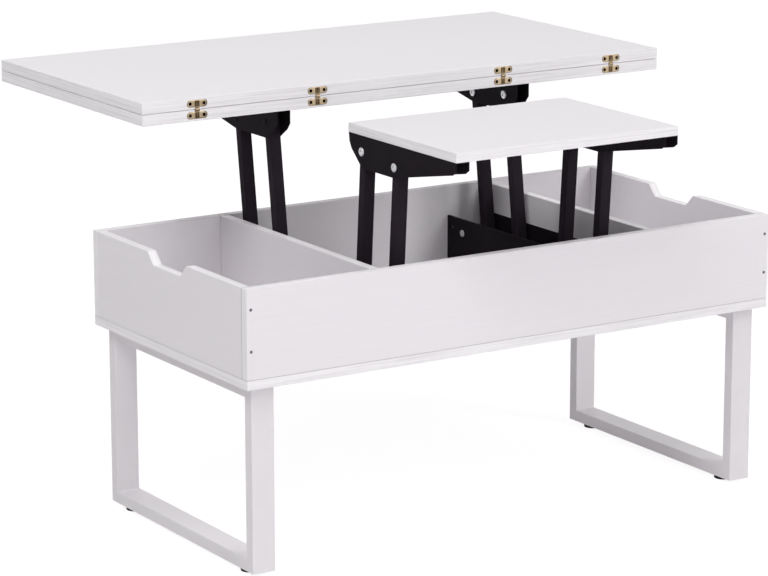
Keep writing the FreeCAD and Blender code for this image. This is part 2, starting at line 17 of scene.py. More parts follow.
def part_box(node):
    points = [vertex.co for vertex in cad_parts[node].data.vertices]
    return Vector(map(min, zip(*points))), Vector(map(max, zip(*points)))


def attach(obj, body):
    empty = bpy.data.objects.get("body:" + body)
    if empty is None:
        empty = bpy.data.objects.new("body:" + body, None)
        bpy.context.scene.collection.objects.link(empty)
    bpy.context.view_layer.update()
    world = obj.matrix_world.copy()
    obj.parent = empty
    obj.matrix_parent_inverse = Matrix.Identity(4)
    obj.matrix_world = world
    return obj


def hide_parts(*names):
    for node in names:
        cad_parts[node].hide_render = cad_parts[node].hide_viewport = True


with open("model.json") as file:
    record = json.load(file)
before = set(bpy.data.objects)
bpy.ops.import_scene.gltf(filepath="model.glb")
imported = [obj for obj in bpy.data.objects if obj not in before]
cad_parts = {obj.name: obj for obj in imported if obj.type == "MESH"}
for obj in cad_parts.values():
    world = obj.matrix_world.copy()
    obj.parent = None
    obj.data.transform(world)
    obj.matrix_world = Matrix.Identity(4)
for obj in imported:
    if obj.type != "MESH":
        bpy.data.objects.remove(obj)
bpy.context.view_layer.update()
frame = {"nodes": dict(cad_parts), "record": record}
nodes = frame["nodes"]
slots = {row["node"]: row["material_slot"] for row in frame["record"]["subparts"]}
scene = bpy.context.scene
scene.view_settings.view_transform = "Standard"
mm = 0.001

# %% [markdown]
# Two helpers serve the whole lesson. Colours are written as the hex values that a paint chart
# would give, and shaders want linear light, so one function turns one into the other. Node
# trees are long to write by hand, so another function adds a node, sets it and links it.


# %% Helpers for colour and nodes
def linear(hex_colour):
    """A hex colour as linear red, green, blue and alpha."""
    shares = [int(hex_colour[i : i + 2], 16) / 255 for i in (1, 3, 5)]
    return [c / 12.92 if c <= 0.04045 else ((c + 0.055) / 1.055) ** 2.4 for c in shares] + [1.0]


def add(tree, kind, inputs=None, **settings):
    """Adds a node with its settings; an input is a value, or another node's output to link."""
    made = tree.nodes.new(kind)
    for name, value in settings.items():
        setattr(made, name, value)
    for socket, value in (inputs or {}).items():
        if isinstance(value, bpy.types.NodeSocket):
            tree.links.new(value, made.inputs[socket])
        else:
            made.inputs[socket].default_value = value
    return made


print("white chart colour in linear light", [round(c, 3) for c in linear("#EDEAED")])

# %% [markdown]
# The photograph was taken with a long lens from the front left, a little above the tops. A long
# lens far away keeps the table's lines nearly parallel. The camera stands on a sphere round an
# aim point, so that its angle can be read straight from two numbers.

# %% Camera
photo_width_px = 768
focal_length_px = 3277.7
sensor_mm = 36.0
azimuth = math.radians(-32.31)
elevation = math.radians(13.38)
camera_distance = 5.36
camera_roll = math.radians(-0.09)
aim = Vector((-0.083, 0.023, 0.357))

back = Vector(
    (
        math.sin(azimuth) * math.cos(elevation),
        -math.cos(azimuth) * math.cos(elevation),
        math.sin(elevation),
    )
)
camera = bpy.data.objects.new("camera", bpy.data.cameras.new("camera"))
camera.data.sensor_width = sensor_mm
camera.data.lens = sensor_mm * focal_length_px / photo_width_px
camera.location = aim + back * camera_distance
level_view = (-back).to_track_quat("-Z", "Y")
camera.rotation_euler = (level_view @ Quaternion((0, 0, 1), camera_roll)).to_euler()
scene.collection.objects.link(camera)
scene.camera = camera
print("lens", round(camera.data.lens, 1), "mm at", [round(v, 2) for v in camera.location])

# %% [markdown]
# The light is a white studio: a bright room all round and six softboxes. The one on the left is
# high and reaches between the tops into the open box. Two stand to the right of the camera, one
# above the other, and make the front paler than the left side. One overhead lifts the tops, one
# low in front fills the space under the box, and one behind keeps the back white. The room looks
# pure white to the eye and to shiny metal, but lights the boards at a plain level. One helper
# tells these rays from the rest, for the room and for the floor.


# %% Studio light
def seen_directly(tree):
    """1 for rays from the camera, from gloss and through glass, and 0 for rays that carry light."""
    ray = add(tree, "ShaderNodeLightPath")
    seen = ray.outputs["Is Camera Ray"]
    for kind in ("Is Glossy Ray", "Is Transmission Ray"):
        both = add(tree, "ShaderNodeMath", {0: seen, 1: ray.outputs[kind]}, operation="MAXIMUM")
        seen = both.outputs[0]
    return seen


room_light = 0.22
studio_white = "#FFFEFF"
softbox_size = 3.0
softboxes = {
    "overhead_softbox": (Vector((0.0, 0.0, 6.0)), 36.0),
    "left_softbox": (Vector((-3.5, -2.0, 5.5)), 184.0),
    "high_right_softbox": (Vector((4.0, -6.0, 7.0)), 189.0),
    "right_softbox": (Vector((4.5, -7.2, 4.3)), 139.0),
    "low_softbox": (Vector((-2.0, -8.0, 1.2)), 80.0),
    "back_softbox": (Vector((0.0, 8.0, 2.0)), 120.0),
}

world = bpy.data.worlds.new("white_room")
scene.world = world
world.use_nodes = True
sky = world.node_tree
sky.nodes.clear()
level = add(sky, "ShaderNodeMapRange", {"Value": seen_directly(sky), "To Min": room_light})
room = {"Color": linear(studio_white), "Strength": level.outputs[0]}
room = add(sky, "ShaderNodeBackground", room)
add(sky, "ShaderNodeOutputWorld", {"Surface": room.outputs[0]})

for name, (place, watts) in softboxes.items():
    lamp = bpy.data.objects.new(name, bpy.data.lights.new(name, "AREA"))
    lamp.data.size = softbox_size
    lamp.data.energy = watts
    lamp.location = place
    lamp.rotation_euler = (place - aim).to_track_quat("Z", "Y").to_euler()
    scene.collection.objects.link(lamp)
print("softboxes", list(softboxes), "room light", room_light)

# %% [markdown]
# The floor is a pale sheet that runs on into the white room. To the camera it is mostly white
# light of its own with a little plain paint mixed in, so it ends without an edge and still
# keeps a faint shadow under the legs.

# %% Floor
floor_half = 12.0
floor_paint = "#EFEDEF"
floor_paint_share = 0.25
floor_glow = 1.21

bm = bmesh.new()
bmesh.ops.create_grid(bm, x_segments=1, y_segments=1, size=floor_half)
floor = bpy.data.objects.new("floor", bpy.data.meshes.new("floor"))
bm.to_mesh(floor.data)
bm.free()
scene.collection.objects.link(floor)
pale = bpy.data.materials.new("pale_studio_floor")
pale.use_nodes = True
tree = pale.node_tree
tree.nodes.clear()
share = add(tree, "ShaderNodeMapRange", {"Value": seen_directly(tree), "To Max": 1 - floor_paint_share})
paint = add(tree, "ShaderNodeBsdfDiffuse", {"Color": linear(floor_paint)})
glow = add(tree, "ShaderNodeEmission", {"Color": linear(studio_white), "Strength": floor_glow})
mixed = add(tree, "ShaderNodeMixShader", {0: share.outputs[0], 1: paint.outputs[0], 2: glow.outputs[0]})
add(tree, "ShaderNodeOutputMaterial", {"Surface": mixed.outputs[0]})
floor.data.materials.append(pale)
print("floor", 2 * floor_half, "m wide")

# %% [markdown]
# Every finish starts in the same way: a named material with one Principled shader. The numbers
# that are the same all over a surface go straight on the shader's own sockets. Coats, metals and
# plastics also share a base of two close tones that drift into each other in soft patches, because
# no real surface is quite even.

# %% Finishes to start from
relief_strength = 0.3


def finish_called(name, **sockets):
    """A new material, its node tree, its shader and the object coordinates of the piece."""
    material = bpy.data.materials.new(name)
    material.use_nodes = True
    made = material.node_tree
    shader = made.nodes["Principled BSDF"]
    for socket, value in sockets.items():
        shader.inputs[socket.replace("_", " ")].default_value = value
    place = add(made, "ShaderNodeTexCoord").outputs["Object"]
    return material, made, shader, place


def two_toned(name, first, second, patch_size, detail, **sockets):
    """A finish in two tones, and the output of their pattern; the patch size is along X, Y and Z."""
    material, made, shader, place = finish_called(name, **sockets)
    spread = add(made, "ShaderNodeVectorMath", {0: place, 1: patch_size}, operation="DIVIDE")
    noise = {"Vector": spread.outputs[0], "Scale": 1.0, "Detail": detail}
    patch = add(made, "ShaderNodeTexNoise", noise).outputs[0]
    tones = {"Factor": patch, "A": linear(first), "B": linear(second)}
    colour = add(made, "ShaderNodeMix", tones, data_type="RGBA")
    made.links.new(colour.outputs["Result"], shader.inputs["Base Color"])
    return material, made, shader, place, patch


print("relief strength", relief_strength)

# %% [markdown]
# The boards are chipboard faced with white melamine foil, with plastic strips ironed on to the
# edges. The foil is satin and has a faint pressed wood grain along the board. The strips are a
# little whiter, and their print is stretched along them into soft streaks. Where a panel of the
# box meets the next one, a thin line of painted shade is drawn along the hairline joint. Each board
# has its own copy of the finish, because the pattern has to know which way the board runs and
# where its faces end.

# %% The melamine finish
foil_white = "#EBE8EB"
foil_grain = "#E9E6EA"
strip_white = "#F5F3F5"
strip_streak = "#E4E1E5"
# Grey of the painted shade drawn in the joints between boards
joint_painted_shade = "#87848A"
grain_length = 140 * mm
grain_width = 2.2 * mm
streak_from = 0.4
streak_to = 0.75
strip_start_share = 0.88
strip_end_share = 0.96
joint_width = 1.2 * mm
grain_emboss = 0.06 * mm
grain_strength = 0.04


def melamine(node, joints):
    """White foil and edge strips on one board, with a line of painted shade along each joint; joints are
    its axes and sides that meet a neighbour.
    """
    low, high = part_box(node)
    size = high - low
    thin, _, long = sorted(range(3), key=lambda i: size[i])
    material, made, shader, place = finish_called(
        "white_melamine_" + node, Roughness=0.42, Specular_IOR_Level=0.4
    )
    local = add(made, "ShaderNodeVectorMath", {0: place, 1: (low + high) / 2}, operation="SUBTRACT")
    axes = add(made, "ShaderNodeSeparateXYZ", {0: local.outputs[0]})

    # The foil's grain is drawn out along the board, the strip's streaks along every edge
    grain_step = [grain_width] * 3
    grain_step[long] = grain_length
    streak_step = [grain_length] * 3
    streak_step[thin] = grain_width
    layers = []
    for step, plain, marked in (
        (grain_step, foil_white, foil_grain),
        (streak_step, strip_white, strip_streak),
    ):
        drawn = add(made, "ShaderNodeVectorMath", {0: local.outputs[0], 1: step}, operation="DIVIDE")
        noise = add(made, "ShaderNodeTexNoise", {"Vector": drawn.outputs[0], "Scale": 1.0, "Detail": 3.0})
        streak = {"Value": noise.outputs[0], "From Min": streak_from, "From Max": streak_to}
        streak = add(made, "ShaderNodeMapRange", streak)
        tone = {"Factor": streak.outputs[0], "A": linear(plain), "B": linear(marked)}
        tone = add(made, "ShaderNodeMix", tone, data_type="RGBA")
        layers.append((tone.outputs["Result"], noise.outputs[0]))
    (foil, grain), (strip, _) = layers

    # The faces lie at the full half thickness, and everything inside that is an edge strip
    depth = add(made, "ShaderNodeMath", {0: axes.outputs[thin]}, operation="ABSOLUTE")
    face = {
        "Value": depth.outputs[0],
        "From Min": size[thin] / 2 * strip_start_share,
        "From Max": size[thin] / 2 * strip_end_share,
    }
    face = add(made, "ShaderNodeMapRange", face)
    mixed = {"Factor": face.outputs[0], "A": strip, "B": foil}
    colour = add(made, "ShaderNodeMix", mixed, data_type="RGBA").outputs["Result"]
    # Painted shade: each joint darkens the colour in a thin line at the board's border
    for axis, side in joints:
        inside = {
            "Value": axes.outputs[axis],
            "From Min": side * (size[axis] / 2 - joint_width),
            "From Max": side * size[axis] / 2,
        }
        shadow = add(made, "ShaderNodeMapRange", inside)
        line = {"Factor": shadow.outputs[0], "A": colour, "B": linear(joint_painted_shade)}
        colour = add(made, "ShaderNodeMix", line, data_type="RGBA").outputs["Result"]
    made.links.new(colour, shader.inputs["Base Color"])
    bump = {"Height": grain, "Distance": grain_emboss, "Strength": grain_strength}
    bump = add(made, "ShaderNodeBump", bump)
    made.links.new(bump.outputs["Normal"], shader.inputs["Normal"])
    return material


print("foil", foil_white, "edge strip", strip_white)

# %% [markdown]
# The panels of the box stand on the bottom panel, and the front and back panels cover the ends
# of the others. Those are the edges with a joint, and each gets a thin line of painted shade. At
# the back of the sides the joint is so tight that it gets no line, and the tops have none.

# %% Dress the boards
foot_joint = (2, -1)
front_joint = (1, -1)
back_joint = (1, 1)
board_joints = {
    "front_panel": [foot_joint],
    "back_panel": [foot_joint],
    "left_side_panel": [foot_joint, front_joint],
    "right_side_panel": [foot_joint, front_joint],
    "left_divider": [foot_joint, front_joint, back_joint],
    "right_divider": [foot_joint, front_joint, back_joint],
}
boards = [name for name, slot in slots.items() if slot == "white_melamine"]
for name in boards:
    nodes[name].data.materials.clear()
    nodes[name].data.materials.append(melamine(name, board_joints.get(name, [])))
print("boards", boards)

# %% [markdown]
# The leg frames are welded steel tube with a white powder coat. The powder melts in an oven and
# flows almost flat, which leaves a soft sheen and a fine orange peel. The lift arms have a black
# coat that is matt and reflects very little. The brackets and channels, folded from sheet, were
# coated in another batch that is darker. Real orange peel is under a millimetre wide, too fine
# for a picture of the whole table, so it is drawn a little coarser.

# %% Powder coats
peel_width = 1.6 * mm
peel_depth = 0.05 * mm
cloud_width = 40 * mm


def powder_coat(name, first, second, **sockets):
    """Baked powder on steel: two close tones in soft clouds, over a fine orange peel."""
    clouds = [cloud_width] * 3
    material, made, shader, place, _ = two_toned(name, first, second, clouds, 2.0, **sockets)
    peel = add(made, "ShaderNodeTexNoise", {"Vector": place, "Scale": 1 / peel_width, "Detail": 2.0})
    bump = {"Height": peel.outputs[0], "Distance": peel_depth, "Strength": relief_strength}
    bump = add(made, "ShaderNodeBump", bump)
    made.links.new(bump.outputs["Normal"], shader.inputs["Normal"])
    return material


finishes = {"white_powder_coat": powder_coat("white_powder_coat", "#E2DFE2", "#E7E4E7", Roughness=0.38)}
for name, first, second in (
    ("black_powder_coat", "#272128", "#2E292F"),
    ("dark_powder_coat", "#1C181D", "#221E23"),
):
    finishes[name] = powder_coat(name, first, second, Roughness=0.5, Specular_IOR_Level=0.02)
print("coats", list(finishes))

# %% [markdown]
# Screws, rivets, pins and studs are steel with a bright zinc plate, which is a little blue and
# never quite even. Turning leaves fine rings on a head. The rings follow the distance from the
# part's own axis, which the node tree below stores on each vertex. A part without that value
# simply has no rings. The long screws of the panels get a darker and rougher zinc, so they show
# grey and dull. The hinges are pale brass with a brown tone, and with painted shade in their
# pockets and round their rims; their screws are blackened, so they hardly shine.

# %% Metals
ring_spacing = 0.5 * mm
ring_depth = 0.03 * mm
tarnish_width = 6 * mm
# Bright tone, dull tone, lowest and highest roughness
metals = {
    "zinc_plated_steel": ("#D2D3D6", "#B4B6BA", 0.22, 0.42),
    # The panel screws get a zinc that is darker and rougher than the bright plate
    "waxed_zinc": ("#84858A", "#65666B", 0.4, 0.6),
    "blackened_steel": ("#0D0B0A", "#080706", 0.6, 0.8),
    "yellow_brass": ("#D3C1A4", "#A48F70", 0.25, 0.42),
}
# Dark brown for the hinges: painted shade in pockets and rims, and a lighter brown tone on knuckles
brass_brown_and_shade = "#46331A"


def metal(name, bright, dull, rough_from, rough_to):
    """Bare or plated metal whose polish varies in patches, with turning rings on round heads."""
    patches = [tarnish_width] * 3
    material, made, shader, _, patch = two_toned(name, bright, dull, patches, 4.0, Metallic=1.0)
    rough = add(made, "ShaderNodeMapRange", {"Value": patch, "To Min": rough_from, "To Max": rough_to})
    made.links.new(rough.outputs[0], shader.inputs["Roughness"])
    turned = add(made, "ShaderNodeAttribute", attribute_name="turn_radius")
    turns = {0: turned.outputs["Fac"], 1: math.tau / ring_spacing}
    turns = add(made, "ShaderNodeMath", turns, operation="MULTIPLY")
    ring = add(made, "ShaderNodeMath", {0: turns.outputs[0]}, operation="SINE")
    bump = {"Height": ring.outputs[0], "Distance": ring_depth, "Strength": relief_strength}
    bump = add(made, "ShaderNodeBump", bump)
    made.links.new(bump.outputs["Normal"], shader.inputs["Normal"])
    return material


for name, look in metals.items():
    finishes[name] = metal(name, *look)

# Brass turns brown by the value that the tree of the hinges stores: a brown tone on knuckles
# and necks, and painted shade in the pockets and round the rims of the plates
brass = finishes["yellow_brass"].node_tree
base = brass.nodes["Principled BSDF"].inputs["Base Color"]
brown_and_shade_value = add(brass, "ShaderNodeAttribute", attribute_name="pocket_dirt").outputs["Fac"]
brown_and_shade_colour = {"Factor": brown_and_shade_value, "A": base.links[0].from_socket, "B": linear(brass_brown_and_shade)}
brown_and_shade_colour = add(brass, "ShaderNodeMix", brown_and_shade_colour, data_type="RGBA")
brass.links.new(brown_and_shade_colour.outputs["Result"], base)
print("metals", list(metals))

# %% [markdown]
# The feet and the spacer sleeves are moulded black plastic with a fine spark grain from the
# mould. The rest buffers are rubber, which is duller and a touch browner. The dowels are turned
# beech and stay hidden in the joints, but a part that is taken apart shows them.

# %% Plastic, rubber and beech
spark_grain = 0.9 * mm
spark_depth = 0.04 * mm
beech_ray = 1.2 * mm
beech_fibre = 18 * mm


def moulded(name, first, second, grain_size, **sockets):
    """Two close tones in a small grain, with the grain as relief; a pull along Y gives wood."""
    material, made, shader, _, grain = two_toned(name, first, second, grain_size, 3.0, **sockets)
    bump = {"Height": grain, "Distance": spark_depth, "Strength": relief_strength}
    bump = add(made, "ShaderNodeBump", bump)
    made.links.new(bump.outputs["Normal"], shader.inputs["Normal"])
    return material


even_grain = [spark_grain] * 3
beech_grain = [beech_ray, beech_fibre, beech_ray]
finishes["black_plastic"] = moulded(
    "black_plastic", "#0B0A0C", "#131214", even_grain, Roughness=0.6, Specular_IOR_Level=0.15
)
finishes["black_rubber"] = moulded("black_rubber", "#121010", "#1B1918", even_grain, Roughness=0.8)
finishes["beech_dowel"] = moulded("beech_dowel", "#B98F62", "#D8B88C", beech_grain, Roughness=0.6)
print("grains in mm", [round(step / mm, 2) for step in (spark_grain, beech_ray, beech_fibre)])

# %% [markdown]
# The record names a finish for each piece. Two choices go further than the record: the screws of
# the panels get the dull grey zinc, and black steel other than the arms comes from the darker batch.

# %% Dress the other pieces
finish_of = dict(slots, panel_screws="waxed_zinc")
for name, slot in slots.items():
    if slot == "black_powder_coat" and "arm" not in name:
        finish_of[name] = "dark_powder_coat"
for name, finish in finish_of.items():
    if finish in finishes:
        nodes[name].data.materials.clear()
        nodes[name].data.materials.append(finishes[finish])
print("finishes", sorted(finishes))

# %% [markdown]
# The CAD places each screw, rivet and foot exactly. Reading their places from the frame keeps
# this lesson free of tables. A CAD node is loose triangles and may hold several solids, so a
# merged copy is split into islands, and each island is measured round its own axis.

# %% Measure the turned parts
merge_distance = 0.001 * mm
head_zone = 2.5 * mm
rim_share = 0.9


def solids(node):
    """The vertex places of each separate solid in a CAD node."""
    bm = bmesh.new()
    bm.from_mesh(nodes[node].data)
    bmesh.ops.remove_doubles(bm, verts=bm.verts, dist=merge_distance)
    seen = set()
    found = []
    for first in bm.verts:
        if first in seen:
            continue
        seen.add(first)
        island = [first]
        # The island grows while it is walked
        for vertex in island:
            linked = [edge.other_vert(vertex) for edge in vertex.link_edges]
            fresh = [other for other in linked if other not in seen]
            seen.update(fresh)
            island.extend(dict.fromkeys(fresh))
        found.append([vertex.co.copy() for vertex in island])
    bm.free()
    return found


def corners(places):
    """The lowest and highest corner of some places."""
    low = Vector([min(p[i] for p in places) for i in range(3)])
    high = Vector([max(p[i] for p in places) for i in range(3)])
    return low, high


def turned_solid(places, axis):
    """The head's place, the way it faces and the main sizes of a solid turned about an axis."""
    low, high = corners(places)
    middle = (low + high) / 2
    half = (high - low)[axis] / 2
    rows = []
    for place in places:
        out = place - middle
        along = out[axis]
        out[axis] = 0
        rows.append((along, out.length))
    reach = {s: max(r for along, r in rows if s * along > half - head_zone) for s in (1, -1)}
    side = max(reach, key=reach.get)
    head = reach[side]
    rim = [half - side * along for along, r in rows if r > rim_share * head and side * along > 0]
    middle[axis] += side * half
    facing = Vector((0, 0, 0))
    facing[axis] = side
    return {
        "place": middle,
        "facing": facing,
        "length": 2 * half,
        "head": head,
        "tail": reach[-side],
        "height": max(rim),
    }


for name, axis in {"panel_screws": 1, "leg_screws": 2, "feet": 2, "left_large_bracket_rivets": 0}.items():
    sizes = turned_solid(solids(name)[0], axis)
    print(name, {key: round(sizes[key] / mm, 2) for key in ("length", "head", "tail", "height")})

# %% [markdown]
# A screw, a rivet and a foot are all turned: an outline spun round an axis. Geometry Nodes can
# spin one outline and set copies on points, so one tree serves them all. The outline is a curve
# along Z whose radius at each point is the part's radius there. Where the tree is given a depth,
# it cuts a recess: crossed bars for a screw, a round dimple for a pressed rivet. Each copy is
# spun by a random angle from a fixed seed, because no two screws stop at the same angle.


# %% The tree for turned parts
def new_tree(name, sockets):
    """An empty tree with named inputs, the outputs of its input node, and the inputs' identifiers."""
    tree = bpy.data.node_groups.new(name, "GeometryNodeTree")
    identifiers = {}
    for socket, kind in sockets.items():
        made = tree.interface.new_socket(socket, in_out="INPUT", socket_type="NodeSocket" + kind)
        identifiers[socket] = made.identifier
    tree.interface.new_socket("Geometry", in_out="OUTPUT", socket_type="NodeSocketGeometry")
    return tree, add(tree, "NodeGroupInput").outputs, identifiers


crease_angle = math.radians(40)


def creased(tree, mesh):
    """Shades a mesh smooth apart from its sharp edges."""
    smooth = add(tree, "GeometryNodeSetShadeSmooth", {"Geometry": mesh, "Shade Smooth": True})
    angle = add(tree, "GeometryNodeInputMeshEdgeAngle")
    soft = add(
        tree,
        "FunctionNodeCompare",
        {"A": angle.outputs["Unsigned Angle"], "B": crease_angle},
        data_type="FLOAT",
        operation="LESS_THAN",
    )
    edges = {"Geometry": smooth.outputs[0], "Shade Smooth": soft.outputs[0]}
    return add(tree, "GeometryNodeSetShadeSmooth", edges, domain="EDGE").outputs[0]


turned_tree, given, turned_inputs = new_tree(
    "turned_parts",
    {
        "Places": "Geometry",
        "Outline": "Object",
        "Sides": "Int",
        "Recess Length": "Float",
        "Recess Width": "Float",
        "Recess Depth": "Float",
        "Round Recess": "Bool",
        "Coated Below": "Float",
        "Seed": "Int",
        "Finish": "Material",
        "Coat": "Material",
    },
)
outline = add(turned_tree, "GeometryNodeObjectInfo", {"Object": given["Outline"]})
ring = add(turned_tree, "GeometryNodeCurvePrimitiveCircle", {"Resolution": given["Sides"], "Radius": 1.0})
spun = add(
    turned_tree,
    "GeometryNodeCurveToMesh",
    {
        "Curve": outline.outputs["Geometry"],
        "Profile Curve": ring.outputs["Curve"],
        "Scale": add(turned_tree, "GeometryNodeInputRadius").outputs[0],
        "Fill Caps": True,
    },
).outputs[0]

# Two crossed bars, half of them above the head, cut the recess
deep = add(turned_tree, "ShaderNodeMath", {0: given["Recess Depth"], 1: 2.0}, operation="MULTIPLY")
bars = add(turned_tree, "GeometryNodeJoinGeometry")
for across in (("Recess Length", "Recess Width"), ("Recess Width", "Recess Length")):
    size = {0: given[across[0]], 1: given[across[1]], 2: deep.outputs[0]}
    size = add(turned_tree, "ShaderNodeCombineXYZ", size)
    bar = add(turned_tree, "GeometryNodeMeshCube", {"Size": size.outputs[0]})
    turned_tree.links.new(bar.outputs["Mesh"], bars.inputs[0])
half_width = add(turned_tree, "ShaderNodeMath", {0: given["Recess Width"], 1: 0.5}, operation="MULTIPLY")
dimple = add(
    turned_tree,
    "GeometryNodeMeshCylinder",
    {"Vertices": given["Sides"], "Radius": half_width.outputs[0], "Depth": deep.outputs[0]},
)
cutter = add(
    turned_tree,
    "GeometryNodeSwitch",
    {"Switch": given["Round Recess"], "False": bars.outputs[0], "True": dimple.outputs["Mesh"]},
    input_type="GEOMETRY",
)
cut = add(
    turned_tree,
    "GeometryNodeMeshBoolean",
    {"Mesh 1": spun, "Mesh 2": cutter.outputs[0], "Self Intersection": True},
    operation="DIFFERENCE",
    solver="EXACT",
)
has_recess = add(
    turned_tree, "FunctionNodeCompare", {"A": given["Recess Depth"], "B": 0.0}, operation="GREATER_THAN"
)
headed = add(
    turned_tree,
    "GeometryNodeSwitch",
    {"Switch": has_recess.outputs[0], "False": spun, "True": cut.outputs[0]},
    input_type="GEOMETRY",
)
print("turned parts have", list(turned_inputs))

# %% [markdown]
# The second half of the tree remembers how far each vertex is from the axis, for the turning
# rings, and which faces lie below a given depth, because the closed ends of the rivets were
# coated black with their brackets. Then it sets the part on the points. Each point carries the
# direction that its head faces, so one tree works for screws in front, under the tops and in the
# floor of the box.

# %% Set the turned parts on their points
flat = add(
    turned_tree,
    "ShaderNodeVectorMath",
    {0: add(turned_tree, "GeometryNodeInputPosition").outputs[0], 1: (1.0, 1.0, 0.0)},
    operation="MULTIPLY",
)
away = add(turned_tree, "ShaderNodeVectorMath", {0: flat.outputs[0]}, operation="LENGTH")
marked = add(
    turned_tree,
    "GeometryNodeStoreNamedAttribute",
    {"Geometry": headed.outputs[0], "Name": "turn_radius", "Value": away.outputs["Value"]},
    data_type="FLOAT",
    domain="POINT",
)
height = add(
    turned_tree,
    "ShaderNodeSeparateXYZ",
    {0: add(turned_tree, "GeometryNodeInputPosition").outputs[0]},
)
below = add(
    turned_tree,
    "FunctionNodeCompare",
    {"A": height.outputs["Z"], "B": given["Coated Below"]},
    operation="LESS_THAN",
)
marked = add(
    turned_tree,
    "GeometryNodeStoreNamedAttribute",
    {"Geometry": marked.outputs[0], "Name": "coated", "Value": below.outputs[0]},
    data_type="BOOLEAN",
    domain="FACE",
)
facing = add(turned_tree, "GeometryNodeInputNamedAttribute", {"Name": "facing"}, data_type="FLOAT_VECTOR")
aimed = add(turned_tree, "FunctionNodeAlignRotationToVector", {"Vector": facing.outputs[0]}, axis="Z")
chance = add(
    turned_tree, "FunctionNodeRandomValue", {"Seed": given["Seed"], 3: math.tau}, data_type="FLOAT"
)
spin = add(
    turned_tree,
    "FunctionNodeAxisAngleToRotation",
    {"Axis": (0.0, 0.0, 1.0), "Angle": chance.outputs[1]},
)
turn = add(
    turned_tree,
    "FunctionNodeRotateRotation",
    {"Rotation": aimed.outputs[0], "Rotate By": spin.outputs[0]},
    rotation_space="LOCAL",
)
copies = add(
    turned_tree,
    "GeometryNodeInstanceOnPoints",
    {
        "Points": given["Places"],
        "Instance": creased(turned_tree, marked.outputs[0]),
        "Rotation": turn.outputs[0],
    },
)
real = add(turned_tree, "GeometryNodeRealizeInstances", {"Geometry": copies.outputs[0]})
bare = add(
    turned_tree,
    "GeometryNodeSetMaterial",
    {"Geometry": real.outputs[0], "Material": given["Finish"]},
)
coated = add(turned_tree, "GeometryNodeInputNamedAttribute", {"Name": "coated"}, data_type="BOOLEAN")
dressed = add(
    turned_tree,
    "GeometryNodeSetMaterial",
    {"Geometry": bare.outputs[0], "Selection": coated.outputs[0], "Material": given["Coat"]},
)
add(turned_tree, "NodeGroupOutput", {0: dressed.outputs[0]})
print("nodes in the tree", len(turned_tree.nodes))

# %% [markdown]
# A tree runs as a modifier on an object that holds only points. The result is copied to a plain
# mesh, and the points are thrown away, so that the finished piece has nothing live on it. It then
# takes the place of its CAD node, on the same moving body.

# %% Grow a piece from points
body_of = {node: body for body, held in frame["record"]["behaviour"]["bodies"].items() for node in held}


def grow(name, node, tree, identifiers, rows, values):
    """Runs a tree on facing points and puts the plain mesh in the place of a CAD node."""
    mesh = bpy.data.meshes.new(name + "_points")
    mesh.from_pydata([row["place"] for row in rows], [], [])
    facing = mesh.attributes.new("facing", "FLOAT_VECTOR", "POINT")
    for item, row in zip(facing.data, rows):
        item.vector = row["facing"]
    points = bpy.data.objects.new(name + "_points", mesh)
    scene.collection.objects.link(points)
    modifier = points.modifiers.new("grow", "NODES")
    modifier.node_group = tree
    for socket, value in values.items():
        modifier[identifiers[socket]] = value
    evaluated = points.evaluated_get(bpy.context.evaluated_depsgraph_get())
    piece = bpy.data.objects.new(name, bpy.data.meshes.new_from_object(evaluated))
    scene.collection.objects.link(piece)
    bpy.data.objects.remove(points)
    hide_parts(node)
    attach(piece, body_of[node])
    return piece


def outline_curve(name, rows):
    """A curve along Z whose points carry the radius of a turned part: rows of height and radius."""
    curve = bpy.data.curves.new(name, "CURVE")
    curve.dimensions = "3D"
    spline = curve.splines.new("POLY")
    spline.points.add(len(rows) - 1)
    for point, (height, radius) in zip(spline.points, rows):
        point.co = (0, 0, height, 1)
        point.radius = radius
    made = bpy.data.objects.new(name, curve)
    scene.collection.objects.link(made)
    return made


# %% [markdown]
# The outlines follow the measured sizes. A pan head has a short straight wall under a low dome. A
# countersunk head is a cone that ends flush. A rivet has a wide domed head, pressed by the maker,
# and a smaller dome at the other end, pressed by the tool that closes it. A pivot pin has the same
# head on a plain bar. A foot is a pad with a groove round it, for the fingers that level the table.

# %% Outlines of the turned parts
dome_steps = 6
wall_share = 0.35
crown_share = 0.5
tip_share = 0.55
rivet_shaft = 4.0 * mm
rivet_tail_height = 1.2 * mm
head_ease = 0.2 * mm
# A foot from its top down to the floor: share of the pad's height, then share of its radius
foot_shares = (
    (1.0, 0.95),
    (0.95, 1.0),
    (0.62, 1.0),
    (0.56, 0.97),
    (0.42, 0.97),
    (0.36, 1.0),
    (0.05, 1.0),
    (0.0, 0.98),
)


def domed(radius, height):
    """A head from its underside up to its flat crown at 0."""
    wall = height * wall_share
    rows = [(-height, radius)]
    for step in range(dome_steps + 1):
        angle = math.pi / 2 * step / dome_steps
        reach = crown_share + (1 - crown_share) * math.cos(angle)
        rows.append((-height + wall + (height - wall) * math.sin(angle), radius * reach))
    return rows


def shank(sizes):
    """The tapered tip of a screw and the foot of its shank."""
    end, radius = -sizes["length"], sizes["tail"]
    return [(end, radius * tip_share), (end + radius, radius)]


def pan_screw(sizes):
    """A shank under a domed head."""
    return shank(sizes) + [(-sizes["height"], sizes["tail"])] + domed(sizes["head"], sizes["height"])


def countersunk_screw(sizes):
    """A shank under a cone that ends in a flat eased face."""
    cone = sizes["head"] - sizes["tail"]
    rim = [(-cone, sizes["tail"]), (-head_ease, sizes["head"]), (0, sizes["head"] - head_ease)]
    return shank(sizes) + rim


